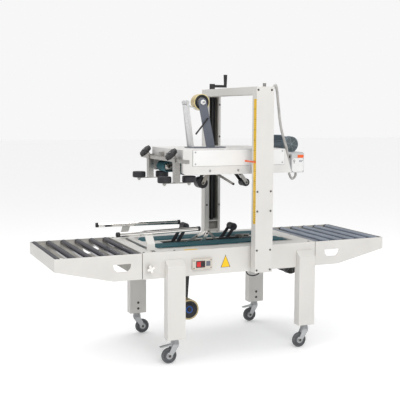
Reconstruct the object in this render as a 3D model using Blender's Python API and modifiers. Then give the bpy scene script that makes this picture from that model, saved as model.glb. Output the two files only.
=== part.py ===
"""Semi-automatic carton sealer: a belt-driven bed on four castored legs, roller extensions at both
ends, and a height-adjustable sealing head on two columns.

Metres, +Z up. The origin is on the floor under the middle of the machine, +X is the way cartons
travel and -Y is the operator's side.
"""
import math

import bmesh
import bpy
from mathutils import Matrix, Vector

# ---- driving dimensions ---------------------------------------------------------------------------
HALF_LENGTH = 0.885          # to the outer end of a roller extension
BED_HALF_LENGTH = 0.467
SEAM = 0.003                 # between the bed and an extension
HALF_WIDTH = 0.267           # of the bed and the extensions
TABLE = 0.535                # height of the deck
BED_BOTTOM = 0.410
SHEET = 0.003                # sheet-metal thickness
CLEAR = 0.0004               # gap between pieces that touch
DRIVE_Y = 0.010              # middle plane of the belts and the tape path

BELT_INNER, BELT_OUTER = 0.057, 0.165        # a belt's edges, from the middle plane
BELT_THICK = 0.004
LOWER_BELT_X = (-0.350, 0.385)
LOWER_BELT_Z = (0.470, 0.540)
UPPER_BELT_X = (-0.235, 0.330)
UPPER_BELT_Z = (0.886, 0.940)

ROLLER_COUNT, ROLLER_FIRST, ROLLER_PITCH = 6, 0.490, 0.0748
ROLLER_RADIUS, ROLLER_Z = 0.0155, 0.5215

LEG_X = {"left": (-0.356, -0.265), "right": (0.356, 0.447)}
LEG_INNER_Y, LEG_OUTER_Y, LEG_BOTTOM = 0.255, 0.304, 0.115
WHEEL_RADIUS, WHEEL_WIDTH, CASTOR_TRAIL = 0.0375, 0.022, 0.030

COLUMN_X = (0.0895, 0.1845)
COLUMN_INNER_Y, COLUMN_OUTER_Y, COLUMN_TOP = 0.285, 0.330, 1.318
BEAM_BOTTOM = 1.280
CHANNEL_X = (0.117, 0.171)   # the slot in a column that the head's carriage runs in
SCREW_X, SCREW_Y, SCREW_RADIUS = 0.142, 0.308, 0.008
SCREW_FOOT = 0.594           # height of the plate that carries a screw's lower end

HEAD_HALF_WIDTH = 0.215
HEAD_LEFT, HEAD_RIGHT_TOP, HEAD_RIGHT_BOTTOM = -0.245, 0.314, 0.354
HEAD_SKIRT, HEAD_COVER, HEAD_TOP = 0.890, 0.931, 1.012

BAR_X, BAR_Z, BAR_HALF, BAR_HALF_LENGTH = -0.264, 0.961, 0.009, 0.320
POST_OFFSET = 0.186          # squeeze post to the middle plane
SQUEEZE_RADIUS, SQUEEZE_Z = 0.034, (0.8535, 0.884)
SQUEEZE_SPREAD = 0.064       # squeeze wheel to its post, along X
SQUEEZE_X = -0.261

UPPER_ROLL_X, UPPER_ROLL_Z, UPPER_ROLL_RADIUS = -0.060, 1.244, 0.042
LOWER_ROLL_X, LOWER_ROLL_Z, LOWER_ROLL_RADIUS = -0.125, 0.178, 0.0525
TAPE_HALF_WIDTH = 0.024

RAIL_X = (-0.566, -0.120)
RAIL_Y = (0.178, 0.132)      # a guide rail's outer and inner end, from the middle: a slight funnel
RAIL_Z, RAIL_RADIUS = 0.615, 0.0115
GUIDE_X, GUIDE_HALF_WIDTH = -0.404, 0.020
KNOB_X, KNOB_Z = -0.436, 0.463

PALETTE = {
    "body_paint": ((0.69, 0.67, 0.64), 0.45, 0.0),
    "case_paint": ((0.74, 0.73, 0.71), 0.45, 0.0),
    "belt": ((0.012, 0.11, 0.13), 0.75, 0.0),
    "roller_steel": ((0.45, 0.48, 0.53), 0.30, 0.9),
    "zinc": ((0.55, 0.56, 0.57), 0.40, 0.9),
    "chrome": ((0.80, 0.79, 0.77), 0.12, 1.0),
    "tyre_grey": ((0.10, 0.105, 0.11), 0.70, 0.0),
    "black_rubber": ((0.015, 0.015, 0.020), 0.55, 0.0),
    "black_plastic": ((0.020, 0.020, 0.022), 0.45, 0.0),
    "tower_blue": ((0.16, 0.18, 0.22), 0.50, 0.0),
    "motor_blue": ((0.09, 0.125, 0.15), 0.45, 0.0),
    "tape": ((0.70, 0.58, 0.32), 0.35, 0.0),
    "control_beige": ((0.58, 0.53, 0.46), 0.50, 0.0),
    "switch_red": ((0.60, 0.03, 0.03), 0.40, 0.0),
    "conduit_grey": ((0.42, 0.41, 0.39), 0.55, 0.0),
    "lever_steel": ((0.62, 0.60, 0.57), 0.30, 0.9),
}
SIDES = {"near": -1, "far": 1}


# ---- modelling helpers ----------------------------------------------------------------------------
def clear_scene():
    for obj in list(bpy.data.objects):
        bpy.data.objects.remove(obj, do_unlink=True)


def new_collection(name):
    collection = bpy.data.collections.new(name)
    bpy.context.scene.collection.children.link(collection)
    return collection


def make_material(name):
    colour, roughness, metallic = PALETTE[name]
    material = bpy.data.materials.new(name)
    material.use_nodes = True
    shader = material.node_tree.nodes["Principled BSDF"]
    shader.inputs["Base Color"].default_value = (*colour, 1)
    shader.inputs["Roughness"].default_value = roughness
    shader.inputs["Metallic"].default_value = metallic
    return material


clear_scene()
PARTS = new_collection("carton_sealer")
CUTTERS = new_collection("cutters")
MATERIALS = {name: make_material(name) for name in PALETTE}


def add_object(name, mesh, collection=None):
    obj = bpy.data.objects.new(name, mesh)
    (collection or PARTS).objects.link(obj)
    return obj


def finish_mesh(name, bm):
    bmesh.ops.recalc_face_normals(bm, faces=bm.faces)
    mesh = bpy.data.meshes.new(name)
    bm.to_mesh(mesh)
    bm.free()
    return mesh


def block(low, high):
    """A mesh box between two corners."""
    low, high = Vector(low), Vector(high)
    bm = bmesh.new()
    size = Matrix.Diagonal((*(high - low), 1))
    bmesh.ops.create_cube(bm, size=1, matrix=Matrix.Translation((low + high) / 2) @ size)
    return finish_mesh("block", bm)


def rod(start, end, radius, sides=20, end_radius=None):
    """A mesh cylinder, or a cone, from one point to another."""
    start, end = Vector(start), Vector(end)
    bm = bmesh.new()
    turn = (end - start).to_track_quat("Z", "Y").to_matrix().to_4x4()
    bmesh.ops.create_cone(
        bm, cap_ends=True, segments=sides, radius1=radius, radius2=end_radius or radius,
        depth=(end - start).length, matrix=Matrix.Translation((start + end) / 2) @ turn)
    return finish_mesh("rod", bm)


def plate(outline, axis, low, high):
    """A flat outline, in the two directions that axis leaves, made solid from low to high along it.

    The outline is filled as a 2D curve. Its pairs are (X, Z) for axis Y, (X, Y) for Z, (Y, Z) for X.
    """
    curve = bpy.data.curves.new("outline", "CURVE")
    curve.dimensions = "2D"
    curve.fill_mode = "BOTH"
    curve.extrude = (high - low) / 2
    spline = curve.splines.new("POLY")
    spline.points.add(len(outline) - 1)
    for point, (u, v) in zip(spline.points, outline):
        point.co = (u, v, 0, 1)
    spline.use_cyclic_u = True
    guide = bpy.data.objects.new("outline", curve)
    CUTTERS.objects.link(guide)
    graph = bpy.context.evaluated_depsgraph_get()
    mesh = bpy.data.meshes.new_from_object(guide.evaluated_get(graph))
    bpy.data.objects.remove(guide)
    middle = (low + high) / 2
    to_world = {
        "X": Matrix(((0, 0, 1, middle), (1, 0, 0, 0), (0, 1, 0, 0), (0, 0, 0, 1))),
        "Y": Matrix(((1, 0, 0, 0), (0, 0, -1, middle), (0, 1, 0, 0), (0, 0, 0, 1))),
        "Z": Matrix.Translation((0, 0, middle)),
    }[axis]
    bm = bmesh.new()
    bm.from_mesh(mesh)
    bmesh.ops.remove_doubles(bm, verts=bm.verts, dist=1e-6)
    bmesh.ops.transform(bm, matrix=to_world, verts=bm.verts)
    return finish_mesh("plate", bm)


def arc(centre, radius, start_deg, end_deg, steps):
    """Points along an arc, angles from the first axis towards the second."""
    angles = [math.radians(start_deg + (end_deg - start_deg) * i / steps) for i in range(steps + 1)]
    return [(centre[0] + radius * math.cos(a), centre[1] + radius * math.sin(a)) for a in angles]


def capsule(start, end, start_radius, end_radius, steps=5):
    """The outline round two circles joined by straight sides."""
    heading = math.degrees(math.atan2(end[1] - start[1], end[0] - start[0]))
    return (arc(end, end_radius, heading - 90, heading + 90, steps)
            + arc(start, start_radius, heading + 90, heading + 270, steps))


def solid(name, material, shapes, cuts=(), at=(0, 0, 0), added=()):
    """One node: the first mesh joined with the others, less the cuts, and with the added ones last.
    All are in the node's own space, whose origin is put at the given place: a moving piece has it on
    its joint's axis."""
    obj = add_object(name, shapes[0])
    obj.data.name = name
    obj.data.materials.append(MATERIALS[material])
    obj.location = at
    for operation, meshes in (("UNION", shapes[1:]), ("DIFFERENCE", cuts), ("UNION", added)):
        for mesh in meshes:
            helper = add_object(f"{name}_{operation.lower()}", mesh, CUTTERS)
            helper.parent = obj
            helper.hide_render = True
            helper.display_type = "WIRE"
            modifier = obj.modifiers.new(operation.title(), "BOOLEAN")
            modifier.operation = operation
            modifier.object = helper
    return obj


def turned(name, material, profile, at, axis="Y", steps=24, closed=False):
    """A turned piece. The profile lists (radius, height), down its outer side, and heights run along
    the axis. A closed profile is a ring with a bore; an open one starts and ends on the axis."""
    mesh = bpy.data.meshes.new(name)
    edges = [(i, i + 1) for i in range(len(profile) - 1)]
    if closed:
        edges.append((len(profile) - 1, 0))
    mesh.from_pydata([(radius, 0, height) for radius, height in profile], edges, [])
    obj = add_object(name, mesh)
    mesh.materials.append(MATERIALS[material])
    screw = obj.modifiers.new("Turn", "SCREW")
    screw.steps = screw.render_steps = steps
    screw.use_merge_vertices = True
    screw.merge_threshold = 0.00001
    obj.location = at
    if axis == "Y":
        obj.rotation_euler = (math.radians(-90), 0, 0)
    return obj


# ---- frame ----------------------------------------------------------------------------------------
def make_bed():
    inside = SHEET + 0.001
    shell = block((-BED_HALF_LENGTH, -HALF_WIDTH, BED_BOTTOM), (BED_HALF_LENGTH, HALF_WIDTH, TABLE))
    cuts = [block((-BED_HALF_LENGTH + inside, -HALF_WIDTH + inside, BED_BOTTOM - 0.01),
                  (BED_HALF_LENGTH - inside, HALF_WIDTH - inside, TABLE - inside))]
    for side in (-1, 1):
        edges = sorted((DRIVE_Y + side * (BELT_INNER - 0.002), DRIVE_Y + side * (BELT_OUTER + 0.002)))
        cuts.append(block((LOWER_BELT_X[0] - 0.003, edges[0], TABLE - 0.02),
                          (LOWER_BELT_X[1] + 0.003, edges[1], TABLE + 0.01)))
    cuts.append(block((-0.270, DRIVE_Y - 0.044, TABLE - 0.02), (0.215, DRIVE_Y + 0.044, TABLE + 0.01)))
    cuts.append(block((GUIDE_X - 0.009, -0.245, TABLE - 0.02), (GUIDE_X + 0.015, 0.245, TABLE + 0.01)))
    cuts.append(rod((KNOB_X, -HALF_WIDTH - 0.01, KNOB_Z), (KNOB_X, -HALF_WIDTH + 0.01, KNOB_Z), 0.008))
    members = [block((x, -HALF_WIDTH + 0.002, BED_BOTTOM), (x + 0.025, HALF_WIDTH - 0.002, BED_BOTTOM + 0.02))
               for x in (-0.235, 0.300)]
    solid("bed_frame", "body_paint", [shell], cuts, added=members)


def make_extension(name, side):
    """A tapered roller extension: side -1 is the infeed, 1 the outfeed."""
    inner = BED_HALF_LENGTH + SEAM
    outline = [(inner, 0.412), (0.608, 0.412), (HALF_LENGTH, 0.475), (HALF_LENGTH, TABLE), (inner, TABLE)]
    handle = [(0.541, 0.455), (0.590, 0.455), (0.607, 0.470), (0.612, 0.490), (0.523, 0.490), (0.527, 0.470)]
    flip = [[(side * x, z) for x, z in points] for points in (outline, handle)]
    inside = sorted((side * (inner + SHEET), side * (HALF_LENGTH - SHEET)))
    cuts = [block((inside[0], -HALF_WIDTH + SHEET, 0.40), (inside[1], HALF_WIDTH - SHEET, TABLE + 0.01)),
            plate(flip[1], "Y", -HALF_WIDTH - 0.01, HALF_WIDTH + 0.01)]
    solid(f"{name}_frame", "body_paint", [plate(flip[0], "Y", -HALF_WIDTH, HALF_WIDTH)], cuts)
    tube, cap = HALF_WIDTH - SHEET - 0.010, 0.006
    end = HALF_WIDTH - SHEET - CLEAR
    half = [(ROLLER_RADIUS, tube), (ROLLER_RADIUS - 0.002, tube + cap),
            (0.005, tube + cap), (0.005, end), (0, end)]
    profile = half[::-1] + [(radius, -height) for radius, height in half]
    for index in range(ROLLER_COUNT):
        x = side * (ROLLER_FIRST + index * ROLLER_PITCH)
        turned(f"{name}_roller_{index + 1}", "roller_steel", profile, (x, 0, ROLLER_Z), steps=14)


def make_leg(end, row):
    """A rectangular tube that laps the outside of the bed, open at its foot for the castor's stem."""
    side = SIDES[row]
    low_x, high_x = LEG_X[end]
    lap = HALF_WIDTH + CLEAR
    outline = [(LEG_INNER_Y, LEG_BOTTOM), (LEG_OUTER_Y, LEG_BOTTOM), (LEG_OUTER_Y, 0.468), (lap, 0.497),
               (lap, BED_BOTTOM - CLEAR), (LEG_INNER_Y, BED_BOTTOM - CLEAR)]
    outer = plate([(side * y, z) for y, z in outline], "X", low_x, high_x)
    pocket = [(LEG_INNER_Y + SHEET, LEG_BOTTOM + SHEET), (LEG_OUTER_Y - SHEET, LEG_BOTTOM + SHEET),
              (LEG_OUTER_Y - SHEET, 0.462), (lap + SHEET, 0.486), (lap + SHEET, 0.40), (LEG_INNER_Y + SHEET, 0.40)]
    inner = plate([(side * y, z) for y, z in pocket], "X", low_x + SHEET, high_x - SHEET)
    middle = ((low_x + high_x) / 2, side * (LEG_INNER_Y + LEG_OUTER_Y) / 2)
    hole = rod((*middle, LEG_BOTTOM - 0.01), (*middle, LEG_BOTTOM + 0.01), 0.0075, sides=16)
    solid(f"leg_{row}_{end}", "body_paint", [outer], [inner, hole])
    make_castor(f"{row}_{end}", middle)


def make_castor(name, middle):
    """A swivel castor: the fork's origin is on its swivel and the wheel's is on its axle."""
    trail = {"far_left": 1}.get(name, -1) * CASTOR_TRAIL
    gap, cheek = WHEEL_WIDTH / 2 + 0.002, 0.0025
    shapes = [rod((0, 0, 0.092), (0, 0, LEG_BOTTOM - 0.0005), 0.022, end_radius=0.017),
              rod((0, 0, 0.100), (0, 0, LEG_BOTTOM + 0.020), 0.0055, sides=12)]
    for side in (-1, 1):
        cheek_y = sorted((side * gap, side * (gap + cheek)))
        shapes.append(plate(capsule((0, 0.088), (trail, WHEEL_RADIUS), 0.016, 0.010), "Y", *cheek_y))
    shapes.append(block((-0.014, -gap - cheek, 0.086), (0.014, gap + cheek, 0.094)))
    shapes.append(rod((trail, -gap - 0.001, WHEEL_RADIUS), (trail, gap + 0.001, WHEEL_RADIUS), 0.0045, sides=12))
    if name in ("near_left", "far_right"):
        pedal = [(-0.012, 0.086), (-0.075, 0.080), (-0.075, 0.084), (-0.012, 0.094)]
        shapes.append(plate(pedal, "Y", -0.011, 0.011))
    solid(f"castor_fork_{name}", "zinc", shapes, at=(*middle, 0))
    half = WHEEL_WIDTH / 2
    ring = [(0.005, half), (0.012, half), (WHEEL_RADIUS - 0.004, half - 0.001), (WHEEL_RADIUS, half - 0.006),
            (WHEEL_RADIUS, 0.006 - half), (WHEEL_RADIUS - 0.004, 0.001 - half), (0.012, -half), (0.005, -half)]
    turned(f"castor_wheel_{name}", "tyre_grey", ring, (middle[0] + trail, middle[1], WHEEL_RADIUS),
           steps=24, closed=True)


def make_column(row):
    """A column that is an inward-open channel, with the plate that carries the lead screw's foot."""
    side = SIDES[row]

    def across(low_x, high_x, low_y, high_y, low_z, high_z):
        y = sorted((side * low_y, side * high_y))
        return block((low_x, y[0], low_z), (high_x, y[1], high_z))

    wall = SHEET
    outer = across(*COLUMN_X, COLUMN_INNER_Y, COLUMN_OUTER_Y, 0.411, COLUMN_TOP)
    spacer = across(0.100, 0.174, HALF_WIDTH + CLEAR, COLUMN_INNER_Y + 0.001, 0.420, 0.530)
    cavity = (COLUMN_X[0] + wall, COLUMN_X[1] - wall, COLUMN_INNER_Y + wall, COLUMN_OUTER_Y - wall)
    cuts = [across(*cavity, 0.414, SCREW_FOOT - 0.006), across(*cavity, SCREW_FOOT, COLUMN_TOP - wall),
            across(*CHANNEL_X, COLUMN_INNER_Y - 0.01, COLUMN_INNER_Y + 0.01, 0.545, SCREW_FOOT - 0.006),
            across(*CHANNEL_X, COLUMN_INNER_Y - 0.01, COLUMN_INNER_Y + 0.01, SCREW_FOOT, 1.277),
            rod((SCREW_X, side * SCREW_Y, 1.30), (SCREW_X, side * SCREW_Y, 1.33), SCREW_RADIUS + 0.001)]
    solid(f"column_{row}", "body_paint", [outer, spacer], cuts)


def make_top_beam():
    reach = COLUMN_INNER_Y - CLEAR
    outer = block((COLUMN_X[0], -reach, BEAM_BOTTOM), (COLUMN_X[1], reach, COLUMN_TOP))
    inner = block((COLUMN_X[0] + SHEET, -reach + SHEET, BEAM_BOTTOM - 0.01),
                  (COLUMN_X[1] - SHEET, reach - SHEET, COLUMN_TOP - SHEET))
    solid("top_beam", "body_paint", [outer], [inner])


def make_screws():
    """The far screw turns with the crank pinned to its top; the near one follows through the chain."""
    foot = SCREW_FOOT + CLEAR
    shank = rod((0, 0, foot), (0, 0, 1.335), SCREW_RADIUS)
    solid("lead_screw_near", "lever_steel", [shank], at=(SCREW_X, -SCREW_Y, 0))
    reach = 0.080
    shapes = [rod((0, 0, foot), (0, 0, 1.335), SCREW_RADIUS),
              rod((0, 0, COLUMN_TOP + 0.002), (0, 0, 1.350), 0.015),
              plate(capsule((0, 0), (reach, 0), 0.012, 0.008), "Z", 1.331, 1.345),
              rod((reach, 0, 1.336), (reach, 0, 1.402), 0.008, end_radius=0.0105)]
    solid("crank", "black_plastic", shapes, at=(SCREW_X, SCREW_Y, 0))


def make_controls():
    face = -HALF_WIDTH - CLEAR
    box = block((-0.2195, face - 0.012, 0.440), (-0.1165, face, 0.491))
    recess = block((-0.1993, face - 0.02, 0.4521), (-0.1567, face - 0.002, 0.4789))
    solid("control_box", "control_beige", [box], [recess])
    middle = (-0.178, face - 0.012, 0.4655)
    solid("power_switch", "switch_red", [block((-0.0195, -0.002, -0.0122), (0.0195, 0.0055, 0.0122))], at=middle)


# ---- drive ----------------------------------------------------------------------------------------
def loop_outline(x, z, inset):
    """The outline of a belt loop, inset from its outer face."""
    radius = (z[1] - z[0]) / 2
    middle = (z[0] + z[1]) / 2
    return capsule((x[0] + radius, middle), (x[1] - radius, middle), radius - inset, radius - inset, steps=12)


def make_belts(name, x, z):
    for row, side in SIDES.items():
        low, high = sorted((DRIVE_Y + side * BELT_INNER, DRIVE_Y + side * BELT_OUTER))
        solid(f"{name}_belt_{row}", "belt", [plate(loop_outline(x, z, 0), "Y", low, high)],
              [plate(loop_outline(x, z, BELT_THICK), "Y", low - 0.01, high + 0.01)])


def gearmotor_shapes(x, z, front, back):
    """A gearmotor along Y: fan cover at the front, motor body, and gearbox at the back."""
    return [rod((x, front, z), (x, front + 0.030, z), 0.042, sides=24),
            rod((x, front + 0.029, z), (x, back - 0.069, z), 0.036, sides=24),
            block((x - 0.045, back - 0.070, z - 0.045), (x + 0.045, back, z + 0.045))]


def make_gearmotors():
    upper = gearmotor_shapes(0.440, 1.026, -0.056, 0.190)
    upper.append(block((HEAD_RIGHT_BOTTOM + CLEAR, -0.080, 0.974), (0.500, 0.190, 0.985)))
    upper.append(block((0.425, -0.088, 0.878), (0.500, -0.048, 0.980)))
    solid("upper_gearmotor", "motor_blue", upper)
    lower = gearmotor_shapes(0.385, 0.398, -0.170, 0.060)
    lower.append(block((0.290, 0.000, BED_BOTTOM + 0.02 + CLEAR), (0.400, 0.050, 0.440)))
    solid("lower_gearmotor", "black_plastic", lower)


# ---- guide rails ----------------------------------------------------------------------------------
def make_guide_rails():
    """Each rail hangs on a bent bracket whose nut rides on the knob's screw under the deck."""
    low_x, high_x = GUIDE_X - GUIDE_HALF_WIDTH, GUIDE_X + GUIDE_HALF_WIDTH
    share = (GUIDE_X - RAIL_X[0]) / (RAIL_X[1] - RAIL_X[0])
    rail_y = RAIL_Y[0] + share * (RAIL_Y[1] - RAIL_Y[0])
    foot_y, deck = 0.203, TABLE + 0.0006
    for row, side in SIDES.items():
        bent = [(foot_y - 0.002, deck), (foot_y + 0.002, deck), (foot_y + 0.002, 0.566),
                (rail_y + 0.004, RAIL_Z), (rail_y - 0.002, RAIL_Z), (foot_y - 0.002, 0.564)]
        shapes = [plate([(side * (y - foot_y), z) for y, z in bent], "X", low_x, high_x),
                  block((low_x, -0.012, deck), (high_x, 0.012, deck + 0.003)),
                  block((GUIDE_X - 0.007, -0.008, 0.470), (GUIDE_X + 0.004, 0.008, deck + 0.002)),
                  block((-0.452, -0.012, 0.448), (GUIDE_X + 0.004, 0.012, 0.480)),
                  rod((RAIL_X[0], side * (RAIL_Y[0] - foot_y), RAIL_Z),
                      (RAIL_X[1], side * (RAIL_Y[1] - foot_y), RAIL_Z), RAIL_RADIUS, sides=20)]
        bore = rod((KNOB_X, -0.02, KNOB_Z), (KNOB_X, 0.02, KNOB_Z), 0.007)
        solid(f"guide_rail_{row}", "chrome", shapes, [bore], at=(0, side * foot_y, 0))


def make_width_knob():
    """A four-lobed hand knob on the screw that spreads both rails."""
    front = -HALF_WIDTH - 0.002
    shapes = [rod((0, front - 0.030, 0), (0, 0.245, 0), 0.006, sides=16),
              rod((0, front - 0.028, 0), (0, front - 0.010, 0), 0.010),
              rod((0, front - 0.012, 0), (0, front, 0), 0.011)]
    for quarter in range(4):
        angle = math.radians(90 * quarter + 20)
        x, z = 0.0125 * math.cos(angle), 0.0125 * math.sin(angle)
        shapes.append(rod((x, front - 0.027, z), (x, front - 0.011, z), 0.0065, sides=16))
    solid("width_knob", "chrome", shapes, at=(KNOB_X, 0, KNOB_Z))


# ---- tape cartridges ------------------------------------------------------------------------------
def make_tape_roll(name, x, z, radius):
    half = TAPE_HALF_WIDTH
    ring = [(0.0125, half - 0.003), (0.034, half - 0.003), (0.034, half), (radius, half), (radius, -half),
            (0.034, -half), (0.034, 0.003 - half), (0.0125, 0.003 - half)]
    turned(name, "tape", ring, (x, DRIVE_Y, z), steps=28, closed=True)


def make_arm(name, pivot, knee, roller, radius):
    """A pair of cheeks from the pivot over the knee to a roller; its origin is on the pivot."""
    knee = (knee[0] - pivot[0], knee[1] - pivot[1])
    tip = (roller[0] - pivot[0], roller[1] - pivot[1])
    shapes = []
    for cheek in (-0.031, 0.028):
        shapes.append(plate(capsule((0, 0), knee, 0.010, 0.009), "Y", cheek, cheek + 0.003))
        shapes.append(plate(capsule(knee, tip, 0.009, 0.008), "Y", cheek, cheek + 0.003))
    shapes.append(rod((tip[0], -0.034, tip[1]), (tip[0], 0.034, tip[1]), 0.005, sides=12))
    shapes.append(rod((tip[0], -0.026, tip[1]), (tip[0], 0.026, tip[1]), radius, sides=18))
    shapes.append(rod((0, -0.034, 0), (0, 0.034, 0), 0.005, sides=12))
    solid(name, "black_rubber", shapes, at=(pivot[0], DRIVE_Y, pivot[1]))


def make_lower_cartridge():
    """Side plates between the belts, and the hanger that holds the tape roll below the bed."""
    shapes = []
    for low, high in ((-0.0425, -0.0395), (0.0395, 0.0425)):
        shapes.append(block((-0.262, DRIVE_Y + low, 0.455), (0.205, DRIVE_Y + high, 0.531)))
    for x in (-0.250, -0.020, 0.150):
        shapes.append(block((x, DRIVE_Y - 0.041, 0.456), (x + 0.012, DRIVE_Y + 0.041, 0.468)))
    hanger = [(-0.145, 0.470), (-0.093, 0.470), (-0.100, 0.330), (LOWER_ROLL_X + 0.013, LOWER_ROLL_Z - 0.012),
              (LOWER_ROLL_X - 0.013, LOWER_ROLL_Z - 0.012), (-0.135, 0.330)]
    shapes.append(plate(hanger, "Y", DRIVE_Y + 0.0395, DRIVE_Y + 0.0425))
    shapes.append(rod((LOWER_ROLL_X, DRIVE_Y - 0.030, LOWER_ROLL_Z),
                      (LOWER_ROLL_X, DRIVE_Y + 0.041, LOWER_ROLL_Z), 0.0115))
    solid("lower_cartridge", "lever_steel", shapes)
    make_tape_roll("lower_tape_roll", LOWER_ROLL_X, LOWER_ROLL_Z, LOWER_ROLL_RADIUS)
    make_arm("lower_front_arm", (-0.215, 0.500), (-0.185, 0.548), (-0.145, 0.612), 0.017)
    make_arm("lower_rear_arm", (0.045, 0.500), (0.082, 0.540), (0.125, 0.597), 0.019)


# ---- head -----------------------------------------------------------------------------------------
def make_head_case():
    """The head's cover, open below, with skirts beside the belts and a carriage in each column."""
    width = HEAD_HALF_WIDTH
    outline = [(HEAD_LEFT, HEAD_TOP), (HEAD_LEFT, HEAD_SKIRT + 0.012), (HEAD_LEFT + 0.012, HEAD_SKIRT),
               (HEAD_RIGHT_BOTTOM, HEAD_SKIRT), (HEAD_RIGHT_TOP, HEAD_TOP)]
    inside = [(HEAD_LEFT + 0.004, HEAD_TOP - SHEET), (HEAD_LEFT + 0.004, HEAD_SKIRT - 0.01),
              (HEAD_RIGHT_BOTTOM - 0.004, HEAD_SKIRT - 0.01), (HEAD_RIGHT_TOP - 0.004, HEAD_TOP - SHEET)]
    shapes = [plate(outline, "Y", -width, width)]
    for side in SIDES.values():
        y = sorted((side * (width - 0.002), side * (SCREW_Y + 0.012)))
        shapes.append(block((0.121, y[0], 0.925), (0.163, y[1], 1.000)))
    cuts = [plate(inside, "Y", -width + SHEET, width - SHEET),
            block((HEAD_LEFT - 0.01, -width + 0.02, HEAD_SKIRT - 0.02), (HEAD_LEFT + 0.01, width - 0.02, 0.950)),
            block((-0.120, DRIVE_Y - 0.020, HEAD_TOP - 0.01), (0.060, DRIVE_Y + 0.020, HEAD_TOP + 0.01))]
    for side in SIDES.values():
        cuts.append(rod((SCREW_X, side * SCREW_Y, 0.90), (SCREW_X, side * SCREW_Y, 1.02), SCREW_RADIUS + 0.0006))
    solid("head_case", "case_paint", shapes, cuts)


def make_tape_tower():
    """The tower that holds the upper roll, and the guide frame beside it, on one foot plate."""
    foot = HEAD_TOP + CLEAR
    near = DRIVE_Y - 0.034
    shapes = [block((-0.130, DRIVE_Y - 0.036, foot - 0.003), (0.070, DRIVE_Y + 0.036, foot + 0.004)),
              plate(capsule((-0.014, foot + 0.010), (UPPER_ROLL_X, UPPER_ROLL_Z), 0.023, 0.0225, steps=12), "Y",
                    near, near + 0.006),
              rod((UPPER_ROLL_X, near - 0.008, UPPER_ROLL_Z), (UPPER_ROLL_X, DRIVE_Y + 0.028, UPPER_ROLL_Z), 0.0115)]
    for low in (-0.030, 0.027):
        shapes.append(plate(capsule((-0.112, foot + 0.008), (-0.140, 1.243), 0.007, 0.006, steps=8), "Y",
                            DRIVE_Y + low, DRIVE_Y + low + 0.003))
    shapes.append(rod((-0.140, DRIVE_Y - 0.033, 1.243), (-0.140, DRIVE_Y + 0.033, 1.243), 0.004, sides=12))
    shapes.append(rod((-0.140, DRIVE_Y - 0.026, 1.243), (-0.140, DRIVE_Y + 0.026, 1.243), 0.011))
    below = block((-0.2, -0.1, foot - 0.05), (0.1, 0.1, foot))
    solid("tape_tower", "tower_blue", shapes, [below])
    make_tape_roll("upper_tape_roll", UPPER_ROLL_X, UPPER_ROLL_Z, UPPER_ROLL_RADIUS)
    make_arm("upper_front_arm", (-0.165, 0.925), (-0.028, 0.880), (-0.054, 0.833), 0.029)
    make_arm("upper_rear_arm", (0.095, 0.925), (0.155, 0.878), (0.194, 0.828), 0.021)


def make_squeezers():
    """The cross bar at the head's front and its two posts, each with a plate and two soft wheels."""
    half = BAR_HALF
    bar = [block((BAR_X - half, -BAR_HALF_LENGTH, BAR_Z - half), (BAR_X + half, BAR_HALF_LENGTH, BAR_Z + half))]
    for y in (-0.050, 0.050):
        bar.append(block((BAR_X, y - 0.015, BAR_Z + half - 0.003), (HEAD_LEFT - CLEAR, y + 0.015, BAR_Z + 0.030)))
    solid("squeeze_bar", "lever_steel", bar)
    for row, side in SIDES.items():
        y = DRIVE_Y + side * POST_OFFSET
        lug = 0.005
        shapes = [block((BAR_X - half - lug, -0.016, BAR_Z - half - lug), (BAR_X + half + lug, 0.016, BAR_Z + half + lug)),
                  block((-0.276, -0.018, 0.8505), (-0.273, 0.018, BAR_Z - half - 0.001)),
                  block((-0.276, -0.018, 0.8505), (-0.250, -0.015, BAR_Z - half - 0.001)),
                  block((SQUEEZE_X - SQUEEZE_SPREAD, -0.012, 0.8495), (SQUEEZE_X + SQUEEZE_SPREAD, 0.012, 0.8525)),
                  rod((BAR_X - 0.006, 0, BAR_Z + 0.011), (-0.289, 0, 0.991), 0.009, sides=12),
                  rod((-0.2838, 0, 0.9844), (-0.2963, 0, 0.9968), 0.030, sides=20)]
        for spread in (-SQUEEZE_SPREAD, SQUEEZE_SPREAD):
            shapes.append(rod((SQUEEZE_X + spread, 0, 0.838), (SQUEEZE_X + spread, 0, 0.8855), 0.0045, sides=12))
            shapes.append(rod((SQUEEZE_X + spread, 0, 0.8425), (SQUEEZE_X + spread, 0, 0.851), 0.009, sides=12))
        gap = half + 0.0006
        bore = block((BAR_X - gap, -0.03, BAR_Z - gap), (BAR_X + gap, 0.03, BAR_Z + gap))
        solid(f"squeeze_post_{row}", "lever_steel", shapes, [bore], at=(0, y, 0))
        low, high = SQUEEZE_Z
        ring = [(0.0052, high), (0.031, high), (SQUEEZE_RADIUS, high - 0.004), (SQUEEZE_RADIUS, low + 0.004),
                (0.031, low), (0.0052, low)]
        for end, spread in (("front", -SQUEEZE_SPREAD), ("rear", SQUEEZE_SPREAD)):
            turned(f"squeeze_wheel_{row}_{end}", "black_rubber", ring, (SQUEEZE_X + spread, y, 0), axis="Z",
                   steps=20, closed=True)


def smooth_path(points, count):
    """Points read from one Catmull-Rom curve through the route's own points."""
    route = [Vector(p) for p in points]
    route = [2 * route[0] - route[1], *route, 2 * route[-1] - route[-2]]
    spans = len(route) - 3
    path = []
    for i in range(count):
        place = min(i * spans / (count - 1), spans - 1e-9)
        k, t = int(place), place - int(place)
        a, b, c, d = route[k:k + 4]
        path.append(0.5 * (2 * b + (c - a) * t + (2 * a - 5 * b + 4 * c - d) * t ** 2
                           + (3 * b - a - 3 * c + d) * t ** 3))
    return path


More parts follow.
